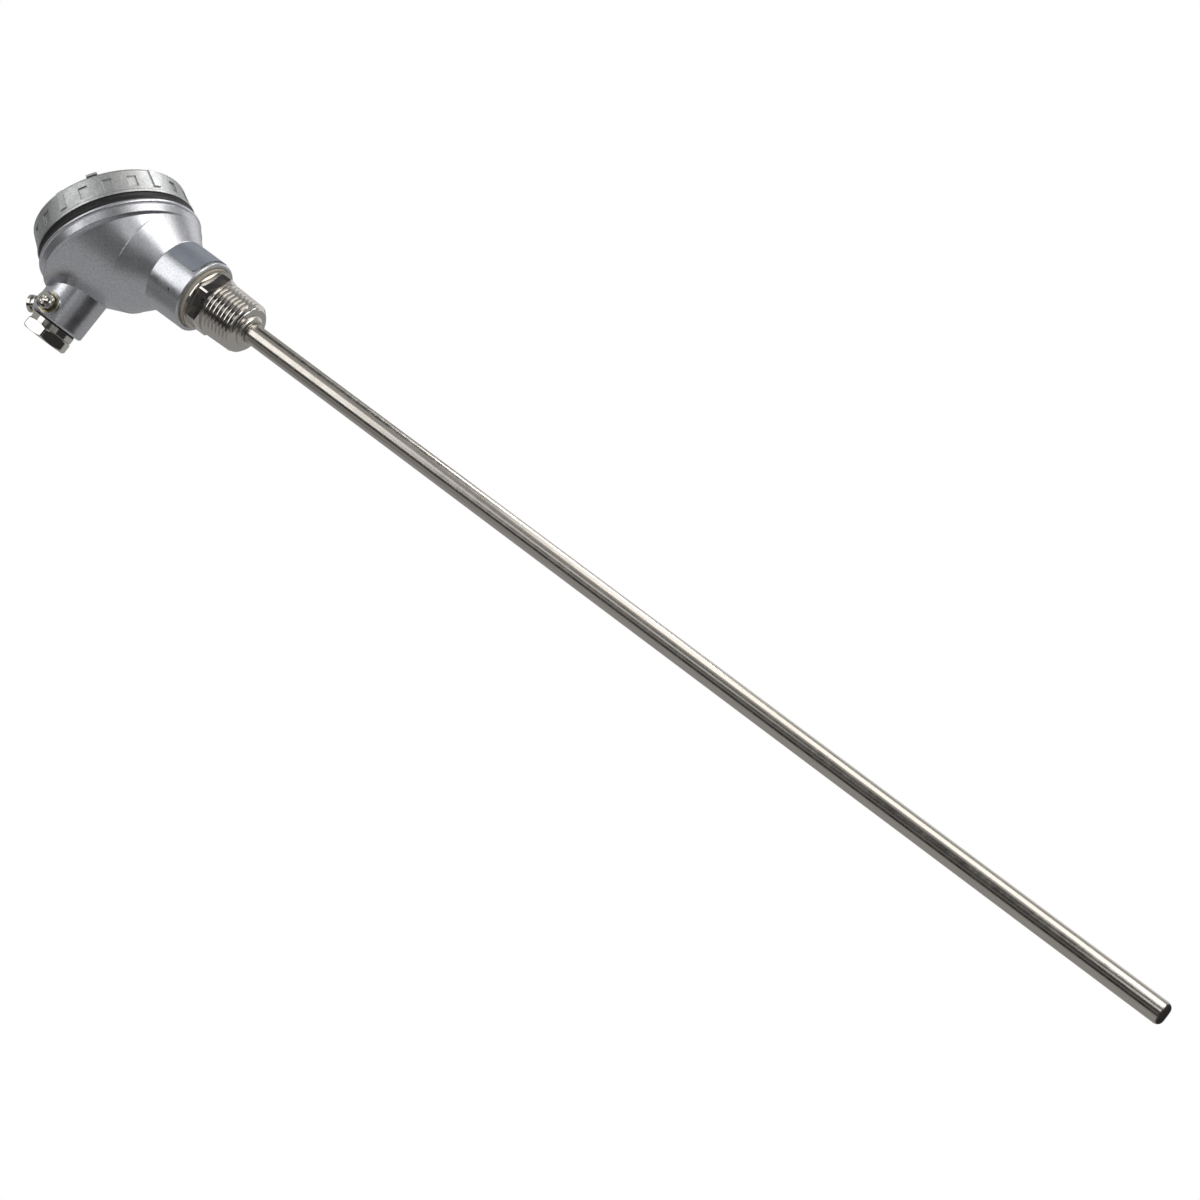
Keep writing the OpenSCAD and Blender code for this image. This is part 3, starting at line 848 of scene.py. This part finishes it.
plated = [
    nodes[name]
    for name in (
        "gland_screw", "gland_washer", "earth_screw", "side_screw", "side_flat_washer",
        "side_spring_washer", "block_screws",
    )
]
coat(nickel, shader, *plated)

# Moulded grommet rubber: dark grey and matt, with a moulding grain of 0.5 mm.
grommet_rubber, tree, place = begin("grommet_rubber")
grain = add(tree, "ShaderNodeTexNoise", {"Vector": place, "Scale": 1.8 / MM, "Detail": 2})
tone = add(
    tree, "ShaderNodeMix",
    {0: grain.outputs["Fac"], colour_a: linear("#29292b"), colour_b: linear("#3d3d40")},
    data_type="RGBA",
)
shader = add(
    tree, "ShaderNodeBsdfPrincipled",
    {"Base Color": tone.outputs[colour_out], "Roughness": 0.6, "IOR": 1.52},
)
coat(grommet_rubber, shader, nodes["grommet"])

# ---------------------------------------------------------------------------
# Earth screw's washers
# A flat washer and a split spring washer of passivated steel lie under the
# plated earth screw on the boss.

# Yellow-passivated zinc: olive and straw tones drift over about 1.5 mm.
zinc, tree, place = begin("yellow_passivated_zinc")
drift = add(tree, "ShaderNodeTexNoise", {"Vector": place, "Scale": 0.65 / MM, "Detail": 3})
split = add(
    tree, "ShaderNodeMapRange", {"Value": drift.outputs["Fac"], "From Min": 0.38, "From Max": 0.62}
)
tone = add(
    tree, "ShaderNodeMix",
    {0: split.outputs["Result"], colour_a: linear("#6f6b55"), colour_b: linear("#b3a988")},
    data_type="RGBA",
)
shader = add(
    tree, "ShaderNodeBsdfPrincipled",
    {"Base Color": tone.outputs[colour_out], "Metallic": 1, "Roughness": 0.3},
)
coat(zinc, shader, nodes["earth_flat_washer"], nodes["earth_spring_washer"])

# ---------------------------------------------------------------------------
# Terminal block
# A round block of unglazed steatite with four brass terminals, screwed to
# posts in the head.

# Unglazed steatite: warm white and matt, with faint dark grains of 0.7 mm.
steatite, tree, place = begin("unglazed_steatite")
grit = add(tree, "ShaderNodeTexNoise", {"Vector": place, "Scale": 1.5 / MM, "Detail": 3})
grains = add(
    tree, "ShaderNodeMapRange", {"Value": grit.outputs["Fac"], "From Min": 0.3, "From Max": 0.5}
)
tone = add(
    tree, "ShaderNodeMix",
    {0: grains.outputs["Result"], colour_a: linear("#bdb8ab"), colour_b: linear("#e2ded3")},
    data_type="RGBA",
)
shader = add(
    tree, "ShaderNodeBsdfPrincipled",
    {"Base Color": tone.outputs[colour_out], "Roughness": 0.5, "IOR": 1.6},
)
coat(steatite, shader, nodes["terminal_block"])

# Bare brass: yellow and bright where it was machined, browner where handled,
# in spots of 2.5 mm.
brass, tree, place = begin("bare_brass")
tarnish = add(tree, "ShaderNodeTexNoise", {"Vector": place, "Scale": 0.4 / MM, "Detail": 3})
tone = add(
    tree, "ShaderNodeMix",
    {0: tarnish.outputs["Fac"], colour_a: linear("#a9803c"), colour_b: linear("#dfbb74")},
    data_type="RGBA",
)
shader = add(
    tree, "ShaderNodeBsdfPrincipled",
    {"Base Color": tone.outputs[colour_out], "Metallic": 1, "Roughness": 0.22},
)
terminals = [nodes["terminal_plates"]]
for number in range(1, 5):
    terminals += [nodes[f"terminal_washer_{number}"], nodes[f"terminal_screw_{number}"]]
coat(brass, shader, *terminals)

# ---------------------------------------------------------------------------
# Wires
# Four insulated leads rise from the sheath's resin seal to the terminals,
# where their tinned ends are clamped.

# Silicone insulation: off-white and soft looking, a little uneven in tone.
silicone, tree, place = begin("silicone_insulation")
cloud = add(tree, "ShaderNodeTexNoise", {"Vector": place, "Scale": 0.6 / MM, "Detail": 2})
tone = add(
    tree, "ShaderNodeMix",
    {0: cloud.outputs["Fac"], colour_a: linear("#d6d2c8"), colour_b: linear("#efece6")},
    data_type="RGBA",
)
shader = add(
    tree, "ShaderNodeBsdfPrincipled",
    {"Base Color": tone.outputs[colour_out], "Roughness": 0.45, "IOR": 1.43},
)
coat(silicone, shader, nodes["lead_wires"])

# Tinned copper: a pale metal with the strands' fine unevenness.
tinned, tree, place = begin("tinned_copper")
strands = add(tree, "ShaderNodeTexNoise", {"Vector": place, "Scale": 3 / MM, "Detail": 2})
tone = add(
    tree, "ShaderNodeMix",
    {0: strands.outputs["Fac"], colour_a: linear("#b4b3b1"), colour_b: linear("#d6d5d3")},
    data_type="RGBA",
)
relief = add(
    tree, "ShaderNodeBump",
    {"Height": strands.outputs["Fac"], "Strength": 0.4, "Distance": 0.05 * MM},
)
shader = add(
    tree, "ShaderNodeBsdfPrincipled",
    {
        "Base Color": tone.outputs[colour_out],
        "Metallic": 1,
        "Roughness": 0.3,
        "Normal": relief.outputs["Normal"],
    },
)
coat(tinned, shader, nodes["conductors"], nodes["wire_tails"])

# Cast epoxy: dark red and glossy, with a slightly wavy skin.
epoxy, tree, place = begin("cast_epoxy")
waves = add(tree, "ShaderNodeTexNoise", {"Vector": place, "Scale": 0.5 / MM, "Detail": 1})
tone = add(
    tree, "ShaderNodeMix",
    {0: waves.outputs["Fac"], colour_a: linear("#4a140f"), colour_b: linear("#6b221a")},
    data_type="RGBA",
)
relief = add(
    tree, "ShaderNodeBump", {"Height": waves.outputs["Fac"], "Strength": 0.3, "Distance": 0.1 * MM}
)
shader = add(
    tree, "ShaderNodeBsdfPrincipled",
    {
        "Base Color": tone.outputs[colour_out],
        "Roughness": 0.2,
        "IOR": 1.55,
        "Normal": relief.outputs["Normal"],
    },
)
coat(epoxy, shader, nodes["sheath_seal"])

# ---------------------------------------------------------------------------
# Sensing element and insulator
# Inside the sheath, a four-bore insulator holds the conductors apart down to
# the ceramic sensing element at the tip.

# Sintered alumina: white, dense and slightly grainy.
alumina, tree, place = begin("sintered_alumina")
grain = add(tree, "ShaderNodeTexNoise", {"Vector": place, "Scale": 2.5 / MM, "Detail": 2})
tone = add(
    tree, "ShaderNodeMix",
    {0: grain.outputs["Fac"], colour_a: linear("#dedad0"), colour_b: linear("#f4f2ec")},
    data_type="RGBA",
)
shader = add(
    tree, "ShaderNodeBsdfPrincipled",
    {"Base Color": tone.outputs[colour_out], "Roughness": 0.4, "IOR": 1.76},
)
coat(alumina, shader, nodes["sensing_element"], nodes["insulator"])
